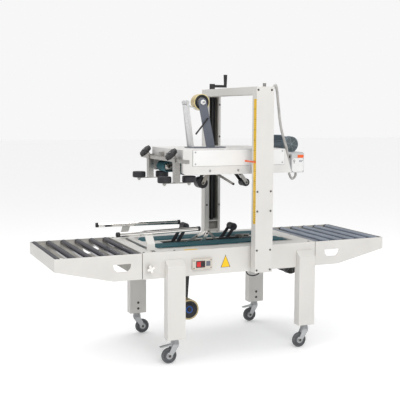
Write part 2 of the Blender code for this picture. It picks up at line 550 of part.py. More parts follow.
# The conduit's route, from its gland on the near column to the bottom of the junction box.
CONDUIT_RADIUS = 0.0065
CONDUIT_ROUTE = [
    (0.1855, -0.300, 1.304), (0.1925, -0.299, 1.305), (0.203, -0.294, 1.320), (0.217, -0.284, 1.327),
    (0.229, -0.275, 1.302), (0.240, -0.266, 1.255), (0.252, -0.255, 1.210), (0.268, -0.240, 1.150),
    (0.290, -0.222, 1.095), (0.317, -0.205, 1.045), (0.344, -0.183, 0.990), (0.366, -0.156, 0.940),
    (0.385, -0.127, 0.895), (0.408, -0.103, 0.862), (0.432, -0.082, 0.846), (0.452, -0.071, 0.851),
    (0.461, -0.068, 0.863), (0.461, -0.068, 0.8765)]


def make_conduit():
    curve = bpy.data.curves.new("conduit", "CURVE")
    curve.dimensions = "3D"
    curve.bevel_depth = CONDUIT_RADIUS
    curve.bevel_resolution = 2
    curve.use_fill_caps = True
    path = smooth_path(CONDUIT_ROUTE, 34)
    spline = curve.splines.new("POLY")
    spline.points.add(len(path) - 1)
    for point, place in zip(spline.points, path):
        point.co = (*place, 1)
    curve.materials.append(MATERIALS["conduit_grey"])
    add_object("conduit", curve)


def main():
    make_bed()
    make_extension("infeed", -1)
    make_extension("outfeed", 1)
    for row in SIDES:
        make_column(row)
        for end in LEG_X:
            make_leg(end, row)
    make_top_beam()
    make_screws()
    make_controls()
    make_belts("lower", LOWER_BELT_X, LOWER_BELT_Z)
    make_belts("upper", UPPER_BELT_X, UPPER_BELT_Z)
    make_gearmotors()
    make_guide_rails()
    make_width_knob()
    make_lower_cartridge()
    make_head_case()
    make_tape_tower()
    make_squeezers()
    make_conduit()


main()
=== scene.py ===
"""Looks of the carton sealer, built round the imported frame. Metres, the part's own frame."""
import math

import bmesh
import bpy
from mathutils import Matrix, Vector


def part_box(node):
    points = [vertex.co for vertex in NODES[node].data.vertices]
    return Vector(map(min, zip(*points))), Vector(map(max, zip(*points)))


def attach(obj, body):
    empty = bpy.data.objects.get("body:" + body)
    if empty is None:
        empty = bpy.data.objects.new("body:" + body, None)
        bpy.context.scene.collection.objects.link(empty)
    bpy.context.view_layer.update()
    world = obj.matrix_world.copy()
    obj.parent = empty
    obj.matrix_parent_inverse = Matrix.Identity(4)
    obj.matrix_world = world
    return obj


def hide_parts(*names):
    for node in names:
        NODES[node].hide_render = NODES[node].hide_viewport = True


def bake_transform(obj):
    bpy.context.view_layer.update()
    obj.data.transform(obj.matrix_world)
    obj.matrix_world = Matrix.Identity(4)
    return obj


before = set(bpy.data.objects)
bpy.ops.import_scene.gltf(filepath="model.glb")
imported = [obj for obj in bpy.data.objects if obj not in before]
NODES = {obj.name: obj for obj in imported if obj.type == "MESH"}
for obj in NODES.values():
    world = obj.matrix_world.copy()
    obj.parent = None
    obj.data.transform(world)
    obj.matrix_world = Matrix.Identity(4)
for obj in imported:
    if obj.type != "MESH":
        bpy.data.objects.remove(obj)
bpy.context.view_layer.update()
SIDES = {"near": -1, "far": 1}


# ---- camera, light and floor ----------------------------------------------------------------------
CAMERA_PLACE = (-1.6932, -3.7706, 1.1901)
CAMERA_AZIMUTH, CAMERA_PITCH, CAMERA_ROLL = -23.4541, 4.6804, 0.2755  # degrees
CAMERA_LENS, CAMERA_SHIFT = 72.2, (-0.0023, -0.0536)
LIGHTS = (  # name, place, target, size, power
    ("key", (-0.4, -3.8, 3.2), (0, 0, 0.7), 2.4, 66),
    ("fill", (-3.4, -1.8, 2.6), (0, 0, 0.7), 2.5, 15),
    ("top", (0, 0.6, 3.6), (0, 0, 0.8), 2.5, 32),
)
ROOM_STRENGTH = 0.86
ROOM_STOPS = [(0.0, (0.42, 0.42, 0.43)), (0.12, (0.30, 0.30, 0.31)),
              (0.30, (0.62, 0.62, 0.62)), (0.75, (1, 1, 1))]
BACKDROP_COLOUR = (0.93, 0.93, 0.93, 1)
FLOOR_GLOW = 0.2
FLOOR_SIZE, FLOOR_DROP = 30, 0.0005


def make_camera():
    """Three-quarter view from the infeed end, a little above the belts."""
    azimuth, pitch, roll = (math.radians(angle) for angle in (CAMERA_AZIMUTH, CAMERA_PITCH, CAMERA_ROLL))
    forward = Vector((-math.sin(azimuth) * math.cos(pitch), math.cos(azimuth) * math.cos(pitch),
                      -math.sin(pitch)))
    right = forward.cross(Vector((0, 0, 1))).normalized()
    up = right.cross(forward)
    turned_right = math.cos(roll) * right + math.sin(roll) * up
    turned_up = -math.sin(roll) * right + math.cos(roll) * up
    data = bpy.data.cameras.new("camera")
    data.sensor_width = 36
    data.lens = CAMERA_LENS
    data.shift_x, data.shift_y = CAMERA_SHIFT
    camera = bpy.data.objects.new("camera", data)
    bpy.context.scene.collection.objects.link(camera)
    turn = Matrix((turned_right, turned_up, -forward)).transposed()
    camera.matrix_world = Matrix.Translation(CAMERA_PLACE) @ turn.to_4x4()
    bpy.context.scene.camera = camera


def area_light(name, place, target, size, power):
    """A round soft light that faces its target."""
    data = bpy.data.lights.new(name, "AREA")
    data.shape = "DISK"
    data.size = size
    data.energy = power
    light = bpy.data.objects.new(name, data)
    light.location = place
    light.rotation_euler = (Vector(target) - Vector(place)).to_track_quat("-Z", "Y").to_euler()
    bpy.context.scene.collection.objects.link(light)


def make_world():
    """A grey room that is brighter overhead lights the object, and the camera sees a paler backdrop."""
    world = bpy.data.worlds.new("studio")
    world.use_nodes = True
    tree = world.node_tree
    room = tree.nodes["Background"]
    room.inputs["Strength"].default_value = ROOM_STRENGTH
    direction = tree.nodes.new("ShaderNodeTexCoord")
    split = tree.nodes.new("ShaderNodeSeparateXYZ")
    tree.links.new(direction.outputs["Generated"], split.inputs["Vector"])
    tree.links.new(ramp(tree, split.outputs["Z"], ROOM_STOPS), room.inputs["Color"])
    backdrop = tree.nodes.new("ShaderNodeBackground")
    backdrop.inputs["Color"].default_value = BACKDROP_COLOUR
    path = tree.nodes.new("ShaderNodeLightPath")
    mixed = tree.nodes.new("ShaderNodeMixShader")
    tree.links.new(path.outputs["Is Camera Ray"], mixed.inputs["Fac"])
    tree.links.new(room.outputs["Background"], mixed.inputs[1])
    tree.links.new(backdrop.outputs["Background"], mixed.inputs[2])
    tree.links.new(mixed.outputs["Shader"], tree.nodes["World Output"].inputs["Surface"])
    bpy.context.scene.world = world


def floor_finish():
    """Plain and pale, with a faint glow; only its gloss varies."""
    material, tree, shader = base("floor_white", 0.8)
    shader.inputs["Base Color"].default_value = (0.95, 0.95, 0.95, 1)
    shader.inputs["Emission Color"].default_value = (1, 1, 1, 1)
    shader.inputs["Emission Strength"].default_value = FLOOR_GLOW
    rough(tree, shader, noise(tree, coordinates(tree), 3, 2), 0.75, 0.85)
    return material


def make_floor():
    bm = bmesh.new()
    bmesh.ops.create_grid(bm, x_segments=2, y_segments=2, size=FLOOR_SIZE)
    mesh = bpy.data.meshes.new("floor")
    bm.to_mesh(mesh)
    bm.free()
    floor = bpy.data.objects.new("floor", mesh)
    floor.location = (0, 0, -FLOOR_DROP)
    bpy.context.scene.collection.objects.link(floor)
    mesh.materials.append(floor_finish())


def make_studio():
    make_world()
    bpy.context.scene.view_settings.view_transform = "Standard"
    for light in LIGHTS:
        area_light(*light)
    make_floor()


# ---- materials ------------------------------------------------------------------------------------
def base(name, roughness, metallic=0.0):
    material = bpy.data.materials.new(name)
    material.use_nodes = True
    tree = material.node_tree
    shader = tree.nodes["Principled BSDF"]
    shader.inputs["Roughness"].default_value = roughness
    shader.inputs["Metallic"].default_value = metallic
    return material, tree, shader


def coordinates(tree, scale=(1, 1, 1)):
    texture = tree.nodes.new("ShaderNodeTexCoord")
    mapping = tree.nodes.new("ShaderNodeMapping")
    mapping.inputs["Scale"].default_value = scale
    tree.links.new(texture.outputs["Object"], mapping.inputs["Vector"])
    return mapping.outputs["Vector"]


def noise(tree, vector, scale, detail=3):
    node = tree.nodes.new("ShaderNodeTexNoise")
    node.inputs["Scale"].default_value = scale
    node.inputs["Detail"].default_value = detail
    tree.links.new(vector, node.inputs["Vector"])
    return node.outputs["Fac"]


def ramp(tree, factor, stops):
    node = tree.nodes.new("ShaderNodeValToRGB")
    elements = node.color_ramp.elements
    while len(elements) < len(stops):
        elements.new(0.5)
    for element, (place, colour) in zip(elements, stops):
        element.position = place
        element.color = (*colour, 1)
    tree.links.new(factor, node.inputs["Fac"])
    return node.outputs["Color"]


def bump(tree, shader, height, strength, distance):
    node = tree.nodes.new("ShaderNodeBump")
    node.inputs["Strength"].default_value = strength
    node.inputs["Distance"].default_value = distance
    tree.links.new(height, node.inputs["Height"])
    tree.links.new(node.outputs["Normal"], shader.inputs["Normal"])


def rough(tree, shader, factor, low, high):
    node = tree.nodes.new("ShaderNodeMapRange")
    node.inputs["To Min"].default_value = low
    node.inputs["To Max"].default_value = high
    tree.links.new(factor, node.inputs["Value"])
    tree.links.new(node.outputs["Result"], shader.inputs["Roughness"])


def scaled(colour, share):
    return tuple(min(1.0, c * share) for c in colour)


def paint(name, colour, roughness, metallic, grain, strength):
    """Powder coat or enamel: slight mottling, orange-peel bump and uneven gloss."""
    material, tree, shader = base(name, roughness, metallic)
    vector = coordinates(tree)
    cloud = noise(tree, vector, 5, 4)
    tree.links.new(ramp(tree, cloud, [(0.3, scaled(colour, 0.955)), (0.7, scaled(colour, 1.03))]),
                   shader.inputs["Base Color"])
    rough(tree, shader, noise(tree, vector, 18, 3), roughness - 0.05, roughness + 0.07)
    if strength:
        bump(tree, shader, noise(tree, vector, grain, 2), strength, 0.0004)
    return material


def metal(name, colour, roughness, stretch):
    """Drawn or plated steel: fine streaks across the stretched direction, and faint stains."""
    material, tree, shader = base(name, roughness, 1.0)
    streak = noise(tree, coordinates(tree, stretch), 60, 4)
    stain = noise(tree, coordinates(tree), 9, 4)
    tree.links.new(ramp(tree, stain, [(0.3, scaled(colour, 0.86)), (0.7, scaled(colour, 1.08))]),
                   shader.inputs["Base Color"])
    rough(tree, shader, streak, roughness - 0.06, roughness + 0.12)
    bump(tree, shader, streak, 0.12, 0.0003)
    return material


def rubber(name, colour, roughness, grain):
    """Rubber or moulded plastic: a fine grain, and a little dust."""
    material, tree, shader = base(name, roughness)
    vector = coordinates(tree)
    dust = noise(tree, vector, 22, 5)
    tree.links.new(ramp(tree, dust, [(0.35, colour), (0.75, tuple(c * 1.5 + 0.008 for c in colour))]),
                   shader.inputs["Base Color"])
    rough(tree, shader, dust, roughness - 0.08, roughness + 0.1)
    bump(tree, shader, noise(tree, vector, grain, 2), 0.25, 0.0004)
    return material


def belt_rubber(name, colour):
    """Textured drive belt: fine cross ribs and scuffing."""
    material, tree, shader = base(name, 0.7)
    vector = coordinates(tree)
    wave = tree.nodes.new("ShaderNodeTexWave")
    wave.wave_type = "BANDS"
    wave.bands_direction = "X"
    wave.inputs["Scale"].default_value = 90
    tree.links.new(vector, wave.inputs["Vector"])
    scuff = noise(tree, coordinates(tree, (1, 8, 1)), 14, 4)
    tree.links.new(ramp(tree, scuff, [(0.3, scaled(colour, 0.8)), (0.75, scaled(colour, 1.35))]),
                   shader.inputs["Base Color"])
    bump(tree, shader, wave.outputs["Fac"], 0.35, 0.0006)
    return material


def tape_side(name, colour):
    """The side of a tape roll: a fine grain under a clear coat."""
    material, tree, shader = base(name, 0.35)
    grain = noise(tree, coordinates(tree), 160, 2)
    tree.links.new(ramp(tree, grain, [(0.3, scaled(colour, 0.85)), (0.7, scaled(colour, 1.1))]),
                   shader.inputs["Base Color"])
    shader.inputs["Coat Weight"].default_value = 0.4
    return material


def two_tone(name, low, high, *limits):
    """Two finishes on one body, each (colour, metallic, roughness); on the infeed and outfeed frames the high
    one is painted shade.

    The high one holds where every (axis, side, limit) does: past the limit on that side.
    """
    material, tree, shader = base(name, 0.4)
    vector = coordinates(tree)
    split = tree.nodes.new("ShaderNodeSeparateXYZ")
    tree.links.new(vector, split.inputs["Vector"])
    above = None
    for axis, side, limit in limits:
        test = tree.nodes.new("ShaderNodeMath")
        test.operation = "GREATER_THAN" if side > 0 else "LESS_THAN"
        test.inputs[1].default_value = limit
        tree.links.new(split.outputs[axis], test.inputs[0])
        if above:
            both = tree.nodes.new("ShaderNodeMath")
            both.operation = "MULTIPLY"
            tree.links.new(above.outputs["Value"], both.inputs[0])
            tree.links.new(test.outputs["Value"], both.inputs[1])
            test = both
        above = test
    mottle = noise(tree, vector, 8, 4)
    mixed = tree.nodes.new("ShaderNodeMix")
    mixed.data_type = "RGBA"
    tree.links.new(above.outputs["Value"], mixed.inputs["Factor"])
    for socket, colour, dark, light in ((6, low[0], 0.95, 1.04), (7, high[0], 0.92, 1.06)):
        stops = [(0.3, scaled(colour, dark)), (0.7, scaled(colour, light))]
        tree.links.new(ramp(tree, mottle, stops), mixed.inputs[socket])
    tree.links.new(mixed.outputs[2], shader.inputs["Base Color"])
    for socket, first, second in (("Metallic", low[1], high[1]), ("Roughness", low[2], high[2])):
        values = tree.nodes.new("ShaderNodeMapRange")
        values.inputs["To Min"].default_value = first
        values.inputs["To Max"].default_value = second
        tree.links.new(above.outputs["Value"], values.inputs["Value"])
        tree.links.new(values.outputs["Result"], shader.inputs[socket])
    bump(tree, shader, noise(tree, vector, 500, 2), 0.08, 0.0003)
    return material


def threaded(name, colour):
    """A plated lead screw: its thread is a bump along Z, and painted shade darkens the thread's grooves."""
    material, tree, shader = base(name, 0.28, 1.0)
    vector = coordinates(tree)
    wave = tree.nodes.new("ShaderNodeTexWave")
    wave.bands_direction = "Z"
    wave.inputs["Scale"].default_value = 78
    tree.links.new(vector, wave.inputs["Vector"])
    # painted shade: the colour falls to 0.45 of itself in the grooves, where the bump is low
    tree.links.new(ramp(tree, wave.outputs["Fac"], [(0.2, scaled(colour, 0.45)), (0.8, colour)]),
                   shader.inputs["Base Color"])
    bump(tree, shader, wave.outputs["Fac"], 0.8, 0.0012)
    return material


BODY, CHROME, LEVER, ZINC = (0.67, 0.655, 0.625), (0.80, 0.78, 0.75), (0.46, 0.445, 0.42), (0.46, 0.47, 0.48)
TOWER_BLUE, MOTOR_BLUE = (0.135, 0.15, 0.185), (0.085, 0.12, 0.145)
ENDS_WAY = (1, 0.08, 1)  # the streaks of a roller run round it
UPRIGHT_WAY = (1, 1, 0.3)
PAINTS = {  # colour, roughness, metallic, grain, bump strength
    "body_paint": (BODY, 0.46, 0.0, 700, 0.12),
    "case_paint": ((0.72, 0.71, 0.69), 0.44, 0.0, 700, 0.12),
    "cover_white": ((0.82, 0.82, 0.81), 0.40, 0.0, 700, 0.10),
    "motor_light": ((0.20, 0.245, 0.265), 0.40, 0.1, 350, 0.2),
    "tower_blue": (TOWER_BLUE, 0.45, 0.2, 300, 0.35),
    "motor_blue": (MOTOR_BLUE, 0.40, 0.1, 350, 0.25),
    "control_beige": ((0.60, 0.55, 0.48), 0.45, 0.0, 900, 0.15),
    "ruler_yellow": ((0.85, 0.52, 0.02), 0.40, 0.0, 600, 0.05),
    "sign_yellow": ((0.90, 0.55, 0.01), 0.35, 0.0, 600, 0.05),
    "orange": ((0.88, 0.13, 0.02), 0.40, 0.0, 600, 0.08),
    # painted shade colour for the inside of the column channels
    "channel_olive": ((0.13, 0.125, 0.10), 0.55, 0.0, 500, 0.1),
    "web_clear": ((0.74, 0.74, 0.75), 0.25, 0.0, 300, 0.05),
}
METALS = {  # colour, roughness, stretch of the streaks
    "roller_steel": ((0.36, 0.40, 0.47), 0.20, ENDS_WAY),
    "roller_dark": ((0.10, 0.10, 0.125), 0.17, ENDS_WAY),
    "zinc": (ZINC, 0.30, UPRIGHT_WAY),
    "chrome": (CHROME, 0.09, (0.06, 1, 1)),
    "lever_steel": (LEVER, 0.26, (0.2, 1, 1)),
    "dark_steel": ((0.12, 0.115, 0.105), 0.38, UPRIGHT_WAY),
}
RUBBERS = {  # colour, roughness, grain
    "tyre_grey": ((0.085, 0.09, 0.095), 0.62, 900),
    "black_rubber": ((0.010, 0.010, 0.014), 0.42, 900),
    "black_plastic": ((0.012, 0.012, 0.013), 0.40, 500),
    "switch_red": ((0.62, 0.02, 0.02), 0.30, 900),
    "hub_blue": ((0.015, 0.10, 0.42), 0.35, 900),
    "conduit_grey": ((0.36, 0.35, 0.335), 0.50, 900),
}
# Painted shade: the inside walls of the infeed and outfeed frames are coloured a darker grey-brown, where
# shade falls between the side plates.
PAINTED_SHADE_WALLS = ("Y", 1, -0.2645), ("Y", -1, 0.2645)
EXTENSION = (BODY, 0.0, 0.46), ((0.37, 0.355, 0.32), 0.0, 0.55), *PAINTED_SHADE_WALLS
TWO_TONES = {  # low finish, high finish, where the high one holds
    "rail": (((0.70, 0.69, 0.66), 0.0, 0.45), (CHROME, 1.0, 0.09), ("Z", 1, 0.6033)),
    "drive": (((0.55, 0.56, 0.56), 0.0, 0.45), (MOTOR_BLUE, 0.1, 0.40), ("Z", 1, 0.9855)),
    "tower": ((TOWER_BLUE, 0.2, 0.45), ((0.60, 0.60, 0.60), 0.0, 0.40), ("X", -1, -0.095), ("Z", 1, 1.0170)),
    "cartridge": (((0.012, 0.012, 0.013), 0.0, 0.42), (LEVER, 1.0, 0.26), ("Z", 1, 0.4545)),
    # Painted shade: the high finish of both extension frames is the darker grey-brown of their inside walls.
    "infeed": (*EXTENSION, ("X", 1, -0.8825)),
    "outfeed": (*EXTENSION, ("X", -1, 0.8825)),
}
MATERIALS = {
    "belt": belt_rubber("belt", (0.010, 0.085, 0.105)),
    "tape": tape_side("tape", (0.62, 0.50, 0.26)),
    "tape_yellow": tape_side("tape_yellow", (0.80, 0.68, 0.28)),
    "screw": threaded("screw", (0.42, 0.41, 0.39)),
}
for maker, finishes in ((paint, PAINTS), (metal, METALS), (rubber, RUBBERS), (two_tone, TWO_TONES)):
    MATERIALS.update({name: maker(name, *finish) for name, finish in finishes.items()})


# ---- shapes ---------------------------------------------------------------------------------------
TURN_AXES = {"X": Matrix(((0, 0, 1), (0, 1, 0), (-1, 0, 0))), "Y": Matrix(((1, 0, 0), (0, 0, 1), (0, -1, 0))),
             "Z": Matrix.Identity(3)}
PRISM_AXES = {"X": lambda u, v, w: (w, u, v), "Y": lambda u, v, w: (u, w, v), "Z": lambda u, v, w: (u, v, w)}


class Shape:
    """Boxes, rods and sweeps gathered into one mesh with several materials.

    The mesh rides on the named body; with no body, the caller places it.
    """

    def __init__(self, name, body):
        self.name, self.body = name, body
        self.bm = bmesh.new()
        self.slots = []

    def paint_new(self, old, material, smooth=True):
        if material not in self.slots:
            self.slots.append(material)
        index = self.slots.index(material)
        for face in self.bm.faces:
            if face not in old:
                face.material_index = index
                face.smooth = smooth

    def box(self, material, low, high, bevel=0.0006, turn=None):
        old = set(self.bm.faces)
        size = [h - l for l, h in zip(low, high)]
        middle = [(l + h) / 2 for l, h in zip(low, high)]
        matrix = Matrix.Translation(middle) @ (turn or Matrix.Identity(4)) @ Matrix.Diagonal((*size, 1))
        made = bmesh.ops.create_cube(self.bm, size=1, matrix=matrix)
        bevel = min(bevel, min(size) * 0.3)
        if bevel > 0:
            edges = dict.fromkeys(edge for vertex in made["verts"] for edge in vertex.link_edges)
            bmesh.ops.bevel(self.bm, geom=list(edges), offset=bevel, segments=2, affect="EDGES", profile=0.5)
        self.paint_new(old, material, False)

    def rod(self, material, start, end, radius, end_radius=None, sides=28, bevel=0.0):
        old = set(self.bm.faces)
        start, end = Vector(start), Vector(end)
        turn = (end - start).to_track_quat("Z", "Y").to_matrix().to_4x4()
        made = bmesh.ops.create_cone(
            self.bm, cap_ends=True, segments=sides, radius1=radius,
            radius2=radius if end_radius is None else end_radius, depth=(end - start).length,
            matrix=Matrix.Translation((start + end) / 2) @ turn)
        if bevel:
            rims = dict.fromkeys(edge for vertex in made["verts"] for edge in vertex.link_edges
                                 if any(len(face.verts) > 4 for face in edge.link_faces))
            bmesh.ops.bevel(self.bm, geom=list(rims), offset=bevel, segments=2, affect="EDGES", profile=0.5)
        self.paint_new(old, material, sides > 8)

    def bolt(self, at, direction, radius=0.005, height=0.0032, material="zinc", sides=6):
        at, direction = Vector(at), Vector(direction).normalized()
        self.rod(material, at, at + direction * 0.0009, radius * 1.35, sides=24)
        top = at + direction * height
        self.rod(material, at + direction * 0.0009, top, radius, sides=sides, bevel=0.0003)

    def sweep(self, material, points, radius, sides=14):
        """A round bar along a line of points, closed at both ends."""
        old = set(self.bm.faces)
        points = [Vector(p) for p in points]
        side = None
        rings = []
        for index, point in enumerate(points):
            ahead = points[min(index + 1, len(points) - 1)] - points[max(index - 1, 0)]
            ahead.normalize()
            if side is None:
                side = ahead.orthogonal().normalized()
            side = (side - ahead * side.dot(ahead)).normalized()
            other = ahead.cross(side)
            rings.append([self.bm.verts.new(point + radius * (math.cos(a) * side + math.sin(a) * other))
                          for a in (2 * math.pi * k / sides for k in range(sides))])
        for first, second in zip(rings, rings[1:]):
            for k in range(sides):
                self.bm.faces.new((first[k], first[(k + 1) % sides], second[(k + 1) % sides], second[k]))
        self.bm.faces.new(list(reversed(rings[0])))
        self.bm.faces.new(rings[-1])
        self.paint_new(old, material)

    def turned(self, material, profile, at, axis="Y", steps=48):
        """A closed (radius, height) outline turned about an axis through at."""
        old = set(self.bm.faces)
        turn = TURN_AXES[axis]
        rings = []
        for step in range(steps):
            angle = 2 * math.pi * step / steps
            outline = [Vector((r * math.cos(angle), r * math.sin(angle), h)) for r, h in profile]
            rings.append([self.bm.verts.new(Vector(at) + turn @ point) for point in outline])
        count = len(profile)
        for step in range(steps):
            first, second = rings[step], rings[(step + 1) % steps]
            for k in range(count):
                self.bm.faces.new((first[k], second[k], second[(k + 1) % count], first[(k + 1) % count]))
        self.paint_new(old, material)

    def ring(self, material, at, inner, outer, height, axis="Y", steps=48):
        half = height / 2
        self.turned(material, [(inner, -half), (outer, -half), (outer, half), (inner, half)], at, axis, steps)

    def prism(self, material, outline, axis, low, high):
        """An outline pushed along an axis from low to high."""
        old = set(self.bm.faces)
        place = PRISM_AXES[axis]
        bottom = [self.bm.verts.new(place(u, v, low)) for u, v in outline]
        top = [self.bm.verts.new(place(u, v, high)) for u, v in outline]
        self.bm.faces.new(bottom)
        self.bm.faces.new(top)
        for k in range(len(outline)):
            n = (k + 1) % len(outline)
            self.bm.faces.new((bottom[k], bottom[n], top[n], top[k]))
        self.paint_new(old, material, False)

    def strip(self, material, line, low, high, thick):
        """A thin web along an (x, z) line, from low to high in Y."""
        old = set(self.bm.faces)
        rings = []
        for k, (x, z) in enumerate(line):
            ahead = Vector(line[min(k + 1, len(line) - 1)]) - Vector(line[max(k - 1, 0)])
            side = Vector((-ahead.y, ahead.x)).normalized() * thick / 2
            rings.append([self.bm.verts.new((x + s * side.x, y, z + s * side.y))
                          for s, y in ((-1, low), (1, low), (1, high), (-1, high))])
        for first, second in zip(rings, rings[1:]):
            for k in range(4):
                self.bm.faces.new((first[k], first[(k + 1) % 4], second[(k + 1) % 4], second[k]))
        self.bm.faces.new(list(reversed(rings[0])))
        self.bm.faces.new(rings[-1])
        self.paint_new(old, material, False)

    def text(self, material, words, size, matrix):
        old = set(self.bm.faces)
        curve = bpy.data.curves.new("digits", "FONT")
        curve.body = words
        curve.size = size
        curve.align_x = curve.align_y = "CENTER"
        maker = bpy.data.objects.new("digits", curve)
        mesh = bpy.data.meshes.new_from_object(maker)
        mesh.transform(matrix)
        self.bm.from_mesh(mesh)
        bpy.data.objects.remove(maker)
        bpy.data.curves.remove(curve)
        bpy.data.meshes.remove(mesh)
        self.paint_new(old, material, False)

    def done(self):
        bmesh.ops.recalc_face_normals(self.bm, faces=self.bm.faces)
        mesh = bpy.data.meshes.new(self.name)
        self.bm.to_mesh(mesh)
        self.bm.free()
        for material in self.slots:
            mesh.materials.append(MATERIALS[material])
        made = bpy.data.objects.new(self.name, mesh)
        bpy.context.scene.collection.objects.link(made)
        if self.body:
            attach(made, self.body)
        return made


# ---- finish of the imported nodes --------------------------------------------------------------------
EDGED = ("body_paint", "case_paint", "control_beige", "tower_blue", "motor_blue", "black_plastic", "zinc",
         "switch_red")
OWN_FINISH = {
    "guide_rail_near": "rail", "guide_rail_far": "rail", "upper_gearmotor": "drive", "tape_tower": "tower",
    "lead_screw_near": "screw", "infeed_frame": "infeed", "outfeed_frame": "outfeed",
    "lower_cartridge": "cartridge"}
EDGE_WIDTH, EDGE_ANGLE, WELD_GAP = 0.0011, 38, 0.00002


def finish_nodes():
    """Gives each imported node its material, and a small rounded edge to the sheet metal and castings."""
    for name, node in NODES.items():
        given = ""
        for slot in node.material_slots:
            given = slot.material.name.split(".")[0]
            wanted = OWN_FINISH.get(name, "roller_dark" if name.startswith("infeed_roller") else given)
            slot.material = MATERIALS[wanted]
        if given in EDGED:
            weld = node.modifiers.new("weld", "WELD")
            weld.merge_threshold = WELD_GAP
            edge = node.modifiers.new("edge", "BEVEL")
            edge.width = EDGE_WIDTH
            edge.segments = 2
            edge.limit_method = "ANGLE"
            edge.angle_limit = math.radians(EDGE_ANGLE)
            normals = node.modifiers.new("normals", "WEIGHTED_NORMAL")
            normals.keep_sharp = True


# ---- frame details ---------------------------------------------------------------------------------
DRIVE_Y = 0.010  # the middle of the belts, the cartridges and the tape
BELT_THICK = 0.004
BELT_INNER, BELT_OUTER = 0.0575, 0.1645  # from DRIVE_Y to a belt's two edges
DECK_Z = 0.535
COLUMN_FACE_Y, COLUMN_LIP_Y, LEG_INNER_Y = 0.330, 0.285, 0.255
SIGN_Y = -0.2671
RULER_FRONT_X, RULER_EDGE_Y, RULER_FOOT_Z = 0.0887, -0.3293, 0.660
TICK_GAP, TICK_SHORT, TICK_LONG = 0.01, 0.006, 0.011


def add_ruler():
    """A yellow height scale on the near column, with ticks each centimetre and plain numbers."""
    shape = Shape("column_ruler", "frame")
    shape.box("ruler_yellow", (0.0887, -0.3295, 0.652), (0.0895, -0.3035, 1.258), 0.0001)
    facing = Matrix(((0, 0, -1, 0), (-1, 0, 0, 0), (0, 1, 0, 0), (0, 0, 0, 1)))
    tick_x = RULER_FRONT_X - 0.0002
    for step in range(60):
        z = RULER_FOOT_Z + TICK_GAP * step
        reach = TICK_LONG if step % 5 == 0 else TICK_SHORT
        shape.box("black_plastic", (tick_x, RULER_EDGE_Y, z - 0.0009),
                  (RULER_FRONT_X, RULER_EDGE_Y + reach, z + 0.0009), 0)
        if step % 5 == 0:
            place = Matrix.Translation((tick_x, -0.3095, z))
            shape.text("black_plastic", str(step), 0.0085, place @ facing)
    shape.done()


FRAME_BOLTS = (  # x places, z places, y of the face, way that the heads point, radius, height
    ((0.0985, 0.1715), (0.810, 0.714, 0.522, 0.424, 1.302), COLUMN_FACE_Y, 1, 0.0038, 0.0028),
    ((0.1030, 0.1780), (1.235, 1.060, 0.870, 0.680), COLUMN_LIP_Y, -1, 0.0040, 0.0026),
    ((-0.3105, 0.4015), (0.140, 0.172), LEG_INNER_Y, -1, 0.0050, 0.0034),
)


def add_frame_bolts():
    """Bolt heads outside and inside the columns, and low on the legs."""
    shape = Shape("frame_bolts", "frame")
    for x_places, z_places, y, way, radius, height in FRAME_BOLTS:
        for x in x_places:
            for z in z_places:
                for side in SIDES.values():
                    shape.bolt((x, side * y, z), (0, way * side, 0), radius, height, "dark_steel")
    shape.done()


def add_column_painted_shade():
    """Painted shade inside each channel: a dark olive sheet on the back wall and a black strip beside the
    screw, both standing in for the shade there.
    """
    shape = Shape("column_painted_shade", "frame")
    for side in SIDES.values():
        # painted shade: a dark olive sheet over the channel's back wall, and a black strip for the shade
        # beside the screw
        wall = sorted((side * 0.3255, side * 0.3268))
        shape.box("channel_olive", (0.0935, wall[0], 0.600), (0.1805, wall[1], 1.310), 0)
        strip = sorted((side * 0.3225, side * 0.3252))
        shape.box("black_rubber", (0.150, strip[0], 0.600), (0.168, strip[1], 1.300), 0)
    shape.done()


def add_roller_caps():
    """Black bearing caps at both ends of each roller."""
    for end in ("infeed", "outfeed"):
        for number in range(1, 7):
            node = f"{end}_roller_{number}"
            low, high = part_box(node)
            x, z, radius = (low.x + high.x) / 2, (low.z + high.z) / 2, (high.z - low.z) / 2
            shape = Shape(f"{node}_caps", node)
            for edge, inward in ((low.y, 1), (high.y, -1)):
                middle = (x, edge + inward * 0.0045, z)
                shape.ring("black_plastic", middle, 0.004, radius + 0.0002, 0.009, "Y", 32)
            shape.done()


def add_bed_details():
    """Slider edges, blank label, warning triangle, guide rack, bolts, and plates of the lower cartridge."""
    shape = Shape("bed_details", "frame")
    shape.box("lever_steel", (-0.352, -0.1785, 0.5352), (0.388, -0.1600, 0.5362), 0.0002)
    shape.box("lever_steel", (-0.352, 0.1800, 0.5352), (0.388, 0.1985, 0.5362), 0.0002)
    shape.box("sign_yellow", (-0.252, -0.2620, 0.5351), (-0.182, -0.2400, 0.5355), 0)
    border = [(-0.066, 0.4395), (-0.014, 0.4395), (-0.040, 0.5010)]
    shape.prism("black_plastic", border, "Y", SIGN_Y - 0.0003, SIGN_Y)
    field = [(-0.0625, 0.4415), (-0.0175, 0.4415), (-0.040, 0.4965)]
    shape.prism("sign_yellow", field, "Y", SIGN_Y - 0.0007, SIGN_Y - 0.0003)
    shape.box("zinc", (-0.398, -0.225, 0.5290), (-0.383, 0.225, 0.5330), 0)
    for step in range(64):
        y = -0.222 + 0.00705 * step
        shape.box("zinc", (-0.397, y, 0.5330), (-0.384, y + 0.0035, 0.5342), 0)
    for x in (-0.455, -0.300, 0.150, 0.440):
        for side in SIDES.values():
            shape.bolt((x, side * 0.245, DECK_Z), (0, 0, 1), 0.0042, 0.0024, "dark_steel")
    shape.box("black_plastic", (0.195, -0.016, 0.520), (0.212, 0.010, 0.5480), 0.001)
    for y in (-0.036, 0.050):
        shape.box("lever_steel", (0.166, y, 0.500), (0.250, y + 0.003, 0.5450), 0.0004)
    shape.done()


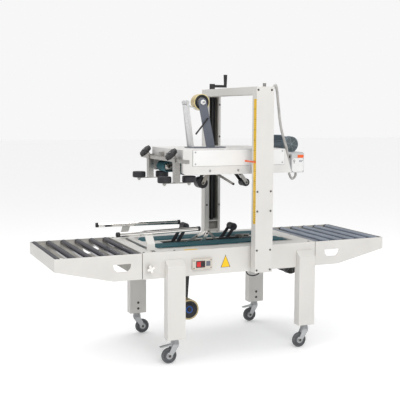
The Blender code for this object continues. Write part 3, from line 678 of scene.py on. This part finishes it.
def add_control_details():
    """The switch's black surround and two halves, a blank plate and four screws."""
    low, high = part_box("power_switch")
    box_low, box_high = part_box("control_box")
    face = box_low.y
    shape = Shape("control_details", "frame")
    margin = 0.004
    for x0, x1, z0, z1 in ((low.x - margin, high.x + margin, high.z + 0.0006, high.z + margin),
                           (low.x - margin, high.x + margin, low.z - margin, low.z - 0.0006),
                           (low.x - margin, low.x - 0.0006, low.z - margin, high.z + margin),
                           (high.x + 0.0006, high.x + margin, low.z - margin, high.z + margin)):
        shape.box("black_plastic", (x0, face - 0.0014, z0), (x1, face, z1), 0.0003)
    shape.box("tower_blue", (high.x + 0.010, face - 0.0005, 0.455), (box_high.x - 0.010, face, 0.479), 0)
    for x in (box_low.x + 0.007, box_high.x - 0.007):
        for z in (box_low.z + 0.007, box_high.z - 0.007):
            shape.rod("dark_steel", (x, face, z), (x, face - 0.0010, z), 0.0026, sides=20)
    shape.done()
    middle = (low.x + high.x) / 2
    shape = Shape("switch_halves", "power_switch")
    for material, left, right in (("switch_red", low.x + 0.0004, middle - 0.0003),
                                  ("black_plastic", middle + 0.0003, high.x - 0.0004)):
        shape.box(material, (left, low.y - 0.0008, low.z + 0.0006),
                  (right, low.y + 0.001, high.z - 0.0006), 0.0004)
    shape.done()


def add_belt_drives():
    """Pulleys and slider plates inside the belt loops, and the drive's cross shafts."""
    for body, name, x, z in (("frame", "lower", (-0.350, 0.385), (0.470, 0.540)),
                             ("head", "upper", (-0.235, 0.330), (0.886, 0.940))):
        shape = Shape(f"{name}_belt_drive", body)
        radius = (z[1] - z[0]) / 2
        middle = (z[0] + z[1]) / 2
        pulley_radius = radius - BELT_THICK - 0.0004
        inner = z[1] - BELT_THICK - 0.0004 if name == "lower" else z[0] + BELT_THICK + 0.0044
        for low, high in ((DRIVE_Y - BELT_OUTER, DRIVE_Y - BELT_INNER),
                          (DRIVE_Y + BELT_INNER, DRIVE_Y + BELT_OUTER)):
            for end in (x[0] + radius, x[1] - radius):
                for material, reach, size, sides in (("lever_steel", -0.001, pulley_radius, 40),
                                                     ("dark_steel", 0.0008, 0.008, 24)):
                    start, stop = (end, low - reach, middle), (end, high + reach, middle)
                    shape.rod(material, start, stop, size, sides=sides)
            shape.box("zinc", (x[0] + 2.1 * radius, low + 0.002, inner - 0.004),
                      (x[1] - 2.1 * radius, high - 0.002, inner), 0.0003)
        shape.done()


MOTOR_PLATE_Z = 0.990  # no fins lower than this, where the upper motor stands on its plate


def add_motor_details():
    """Fan covers with ring grills and spokes, cooling fins and flange bolts on both gearmotors."""
    for body, name, x, z, front, back, paint_name, grill in (
            ("head", "upper_motor_details", 0.440, 1.026, -0.056, 0.190, "motor_blue", "motor_light"),
            ("frame", "lower_motor_details", 0.385, 0.398, -0.170, 0.060, "black_plastic", "dark_steel")):
        shape = Shape(name, body)
        shape.rod("black_plastic", (x, front, z), (x, front - 0.0006, z), 0.0375, sides=40)
        for radius in (0.0100, 0.0170, 0.0240, 0.0310, 0.0370):
            shape.ring(grill, (x, front - 0.0011, z), radius, radius + 0.0030, 0.0014)
        shape.rod("motor_light", (x, front, z), (x, front - 0.0022, z), 0.0065, sides=24)
        for step in range(6):
            turn = Matrix.Rotation(math.radians(60 * step + 15), 4, "Y")
            middle = turn @ Vector((0.022, 0, 0)) + Vector((x, 0, z))
            shape.box("motor_light", (middle.x - 0.0175, front - 0.0018, middle.z - 0.0014),
                      (middle.x + 0.0175, front, middle.z + 0.0014), 0, turn)
        for step in range(22):
            angle = math.radians(-64 + step * 308 / 21)
            middle = Vector((x + 0.0375 * math.sin(angle), 0, z + 0.0375 * math.cos(angle)))
            if body == "head" and middle.z < MOTOR_PLATE_Z:
                continue
            turn = Matrix.Rotation(angle, 4, "Y")
            shape.box(paint_name, (middle.x - 0.0008, front + 0.031, middle.z - 0.0030),
                      (middle.x + 0.0008, back - 0.071, middle.z + 0.0030), 0, turn)
        shape.ring(paint_name, (x, front + 0.0295, z), 0.036, 0.0432, 0.0016)
        for dx in (-0.034, 0.034):
            for dz in (-0.034, 0.034):
                shape.bolt((x + dx, back - 0.070, z + dz), (0, -1, 0), 0.0036, 0.0030, "dark_steel")
        shape.done()


def add_junction_box_label():
    """Blank label, key switch and cover screws of the box beside the upper motor."""
    shape = Shape("junction_box_label", "head")
    shape.box("orange", (0.4610, -0.0886, 0.9560), (0.4970, -0.0880, 0.9715), 0)
    shape.box("cover_white", (0.4280, -0.0892, 0.8815), (0.4975, -0.0880, 0.9540), 0.0003)
    for width, z in ((0.026, 0.9400), (0.020, 0.9345)):
        shape.box("tower_blue", (0.4690, -0.0894, z), (0.4690 + width, -0.0892, z + 0.0026), 0)
    shape.ring("black_plastic", (0.4400, -0.0893, 0.9400), 0.0040, 0.0062, 0.0004)
    shape.box("black_plastic", (0.4388, -0.0895, 0.9250), (0.4412, -0.0892, 0.9350), 0)
    for x in (0.4315, 0.4940):
        for z in (0.8850, 0.9505):
            shape.rod("dark_steel", (x, -0.0892, z), (x, -0.0902, z), 0.0020, sides=16)
    shape.rod("black_plastic", (0.4255, -0.068, 0.960), (0.4180, -0.068, 0.960), 0.0060, sides=24)
    shape.done()


def add_head_details():
    """Side cover with a painted shadow line round it, screws, bolts and slots of the head, its height
    pointer, and the tape tower's fittings.
    """
    shape = Shape("head_details", "head")
    # painted shadow: a dark sheet behind the cover, a little wider all round, shows as a shadow line at the
    # cover's edge
    shape.box("dark_steel", (-0.1945, -0.2155, 0.9315), (0.3095, -0.2150, 1.0112), 0)
    shape.box("cover_white", (-0.193, -0.2178, 0.9325), (0.308, -0.2155, 1.0105), 0.0006)
    for x in (-0.181, 0.296):
        for z in (0.943, 1.000):
            shape.bolt((x, -0.2178, z), (0, -1, 0), 0.0030, 0.0018, "zinc", 20)
    for x in (-0.103, 0.050, 0.200):
        for side in SIDES.values():
            shape.bolt((x, side * 0.215, 0.909), (0, side, 0), 0.0045, 0.0034, "zinc")
    # painted shade: thin black strips stand in for the shade inside the head's slots
    for y in (-0.052, 0.050):
        shape.box("black_plastic", (-0.112, y, 1.0120), (0.062, y + 0.008, 1.0124), 0)
    shape.box("orange", (0.0848, -0.3318, 0.9505), (0.0866, -0.2160, 0.9585), 0.0002)
    shape.rod("black_plastic", (-0.032, -0.030, 1.163), (-0.100, -0.030, 1.082), 0.0042, sides=20)
    shape.rod("cover_white", (-0.060, -0.0245, 1.244), (-0.060, -0.0345, 1.244), 0.0135, sides=6)
    shape.rod("zinc", (-0.060, -0.0345, 1.244), (-0.060, -0.0400, 1.244), 0.0052, sides=24)
    shape.done()
    web = Shape("tape_web", "head")
    line = [(-0.0885, 1.2125), (-0.1345, 1.2308), (-0.1380, 1.2318), (-0.1416, 1.2316), (-0.1450, 1.2302),
            (-0.1120, 1.0160)]
    web.strip("web_clear", line, DRIVE_Y - 0.0235, DRIVE_Y + 0.0235, 0.0005)
    web.done()


def lever(shape, material, start, end, low, high, radius=0.007):
    """A flat bar with round ends, in a plane of constant Y, with a screw head at each end."""
    (x0, z0), (x1, z1) = start, end
    along = math.atan2(z1 - z0, x1 - x0)
    outline = []
    for x, z, turn in ((x0, z0, along + math.pi / 2), (x1, z1, along - math.pi / 2)):
        for step in range(9):
            angle = turn + math.pi * step / 8
            outline.append((x + radius * math.cos(angle), z + radius * math.sin(angle)))
    shape.prism(material, outline, "Y", low, high)
    for x, z in (start, end):
        shape.bolt((x, low, z), (0, -1, 0), radius * 0.45, 0.0022, "dark_steel")


def add_levers():
    """Bright lever plates beside the lower arms, and on the upper arms' near cheeks."""
    shape = Shape("lower_levers", "frame")
    lever(shape, "lever_steel", (-0.190, 0.512), (-0.096, 0.562), -0.0395, -0.0370)
    lever(shape, "chrome", (-0.096, 0.562), (-0.030, 0.583), -0.0365, -0.0340)
    lever(shape, "lever_steel", (-0.030, 0.583), (0.030, 0.515), -0.0395, -0.0370)
    lever(shape, "chrome", (-0.072, 0.520), (-0.040, 0.575), -0.0430, -0.0400, 0.009)
    shape.box("black_plastic", (0.030, -0.0440, 0.5365), (0.140, -0.0345, 0.5500), 0.001)
    shape.done()
    shape = Shape("upper_lever", "head")
    lever(shape, "lever_steel", (-0.010, 0.893), (0.108, 0.824), -0.0425, -0.0400, 0.0065)
    lever(shape, "chrome", (-0.010, 0.893), (0.060, 0.900), -0.0395, -0.0372, 0.0065)
    shape.rod("black_plastic", (0.108, -0.0470, 0.824), (0.108, -0.0350, 0.824), 0.0045, sides=20)
    shape.done()
    for body, points in (("upper_front_arm", ((-0.165, 0.925), (-0.028, 0.880), (-0.054, 0.833))),
                         ("upper_rear_arm", ((0.095, 0.925), (0.155, 0.878), (0.194, 0.828)))):
        shape = Shape(f"{body}_cheeks", body)
        for start, end in zip(points, points[1:]):
            lever(shape, "lever_steel", start, end, DRIVE_Y - 0.0335, DRIVE_Y - 0.0312, 0.0095)
        shape.done()


def add_squeeze_knobs():
    """Lobed black hand knobs over the squeeze posts' clamp screws, leaning back and up."""
    lean = Vector((-0.0125, 0, 0.0124)).normalized()
    middle_x, middle_z = -0.29005, 0.9906
    for side in SIDES:
        low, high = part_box(f"squeeze_post_{side}")
        middle = Vector((middle_x, (low.y + high.y) / 2, middle_z))
        shape = Shape(f"squeeze_knob_{side}", f"squeeze_post_{side}")
        disc = lean * 0.0094
        shape.rod("black_plastic", middle - disc, middle + disc, 0.0306, sides=48, bevel=0.0018)
        across = Vector((0, 1, 0))
        other = lean.cross(across)
        for step in range(8):
            angle = math.radians(45 * step)
            edge = middle + 0.0295 * (math.cos(angle) * across + math.sin(angle) * other)
            lobe = lean * 0.0086
            shape.rod("black_plastic", edge - lobe, edge + lobe, 0.0052, sides=20, bevel=0.0012)
        shape.rod("black_rubber", middle + disc, middle + lean * 0.0118, 0.0120, 0.0105, sides=32)
        shape.rod("zinc", middle + lean * 0.0118, middle + lean * 0.0126, 0.0050, sides=24)
        shape.done()


def add_roll_details():
    """The sides of the tape rolls: a band of tape, a dark ring and the core."""
    for node, ring, core, band in (("upper_tape_roll", "tape_yellow", "dark_steel", 0.0036),
                                   ("lower_tape_roll", "tape", "black_plastic", 0.0075)):
        low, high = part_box(node)
        x, z, radius = (low.x + high.x) / 2, (low.z + high.z) / 2, (high.z - low.z) / 2
        shape = Shape(f"{node}_sides", node)
        for y in (low.y, high.y):
            shape.ring(ring, (x, y, z), radius - band, radius - 0.0002, 0.0006)
            shape.ring("black_rubber", (x, y, z), radius - band - 0.0120, radius - band - 0.0001, 0.0010)
            shape.ring(core, (x, y, z), 0.0128, radius - band - 0.0122, 0.0014)
            if node == "lower_tape_roll":
                shape.ring("hub_blue", (x, y, z), 0.0130, 0.0185, 0.0022)
        shape.done()


CASTORS = ("near_left", "near_right", "far_left", "far_right")


def add_castor_hubs():
    """Hub and tyre rings on both sides of each castor wheel."""
    for name in CASTORS:
        node = f"castor_wheel_{name}"
        low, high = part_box(node)
        x, z = (low.x + high.x) / 2, (low.z + high.z) / 2
        shape = Shape(f"{node}_hub", node)
        for y in (low.y, high.y):
            shape.ring("zinc", (x, y, z), 0.0062, 0.0165, 0.0008)
            shape.ring("black_rubber", (x, y, z), 0.0260, 0.0275, 0.0008)
        shape.done()


def add_castor_bolts():
    """The axle's bolt heads outside each fork."""
    for name in CASTORS:
        low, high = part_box(f"castor_wheel_{name}")
        x, y, z = (low.x + high.x) / 2, (low.y + high.y) / 2, (low.z + high.z) / 2
        shape = Shape(f"castor_fork_{name}_bolts", f"castor_fork_{name}")
        for side in SIDES.values():
            shape.bolt((x, y + side * 0.0150, z), (0, side, 0), 0.0052, 0.0040, "dark_steel")
        shape.done()


def add_squeeze_wheel_nuts():
    for side in SIDES:
        for end in ("front", "rear"):
            node = f"squeeze_wheel_{side}_{end}"
            low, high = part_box(node)
            x, y = (low.x + high.x) / 2, (low.y + high.y) / 2
            shape = Shape(f"{node}_nut", node)
            shape.bolt((x, y, low.z), (0, 0, -1), 0.0055, 0.0060, "dark_steel")
            shape.ring("tyre_grey", (x, y, low.z), 0.014, 0.022, 0.0010, "Z")
            shape.done()


RAIL_ENDS = (-0.566, 0.178), (-0.120, 0.132)  # x, and y on the far side
RAIL_Z, CAP_LENGTH, CAP_RADIUS = 0.615, 0.014, 0.0121


def add_rail_caps():
    """Black caps over both ends of each guide rail, in line with it."""
    (x0, y0), (x1, y1) = RAIL_ENDS
    slope = (y1 - y0) / (x1 - x0)
    for name, side in SIDES.items():
        shape = Shape(f"rail_caps_{name}", f"guide_{name}")
        for (x, y), inward in zip(RAIL_ENDS, (CAP_LENGTH, -CAP_LENGTH)):
            start, end = (x, side * y, RAIL_Z), (x + inward, side * (y + inward * slope), RAIL_Z)
            shape.rod("black_plastic", start, end, CAP_RADIUS, sides=28)
        shape.done()


def smooth_path(points, count):
    """Even-ish points along a Catmull-Rom line through the given points."""
    points = [Vector(p) for p in points]
    ends = [2 * points[0] - points[1], *points, 2 * points[-1] - points[-2]]
    made = []
    spans = len(points) - 1
    for k in range(count + 1):
        place = k * spans / count
        span = min(int(place), spans - 1)
        t = place - span
        a, b, c, d = ends[span:span + 4]
        made.append(0.5 * (2 * b + (c - a) * t + (2 * a - 5 * b + 4 * c - d) * t ** 2
                           + (3 * b - a - 3 * c + d) * t ** 3))
    return made


CONDUIT_DIAMETER, LOOP_DIAMETER = 0.013, 0.006
CONDUIT_ROUTE = [
    (0.1855, -0.300, 1.304), (0.1925, -0.299, 1.305), (0.203, -0.294, 1.320), (0.217, -0.284, 1.327),
    (0.229, -0.275, 1.302), (0.240, -0.266, 1.255), (0.252, -0.255, 1.210), (0.268, -0.240, 1.150),
    (0.290, -0.222, 1.095), (0.317, -0.205, 1.045), (0.344, -0.183, 0.990), (0.366, -0.156, 0.940),
    (0.385, -0.127, 0.895), (0.408, -0.103, 0.862), (0.432, -0.082, 0.846), (0.452, -0.071, 0.851),
    (0.461, -0.068, 0.863), (0.461, -0.068, 0.8765)]
LOOP_ROUTE = [
    (0.088, -0.240, 0.4100), (0.089, -0.241, 0.3980), (0.100, -0.244, 0.3860), (0.125, -0.246, 0.3810),
    (0.150, -0.244, 0.3860), (0.161, -0.241, 0.3980), (0.162, -0.240, 0.4100)]


def add_conduit():
    """The motor's flexible conduit, from the near column's head to the junction box."""
    line = smooth_path(CONDUIT_ROUTE, 85)
    shape = Shape("motor_conduit", None)
    shape.sweep("conduit_grey", line, CONDUIT_DIAMETER / 2, 16)
    made = shape.done()
    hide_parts("conduit")
    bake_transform(made)


def add_cable_loop():
    """The short black cable that shows below the bed, under the near column."""
    line = smooth_path(LOOP_ROUTE, 40)
    shape = Shape("cable_loop", "frame")
    shape.sweep("black_rubber", line, LOOP_DIAMETER / 2, 14)
    made = shape.done()


make_studio()
make_camera()
finish_nodes()
add_ruler()
add_frame_bolts()
add_column_painted_shade()
add_roller_caps()
add_bed_details()
add_control_details()
add_belt_drives()
add_motor_details()
add_junction_box_label()
add_head_details()
add_squeeze_knobs()
add_roll_details()
add_levers()
add_castor_hubs()
add_castor_bolts()
add_squeeze_wheel_nuts()
add_rail_caps()
add_conduit()
add_cable_loop()
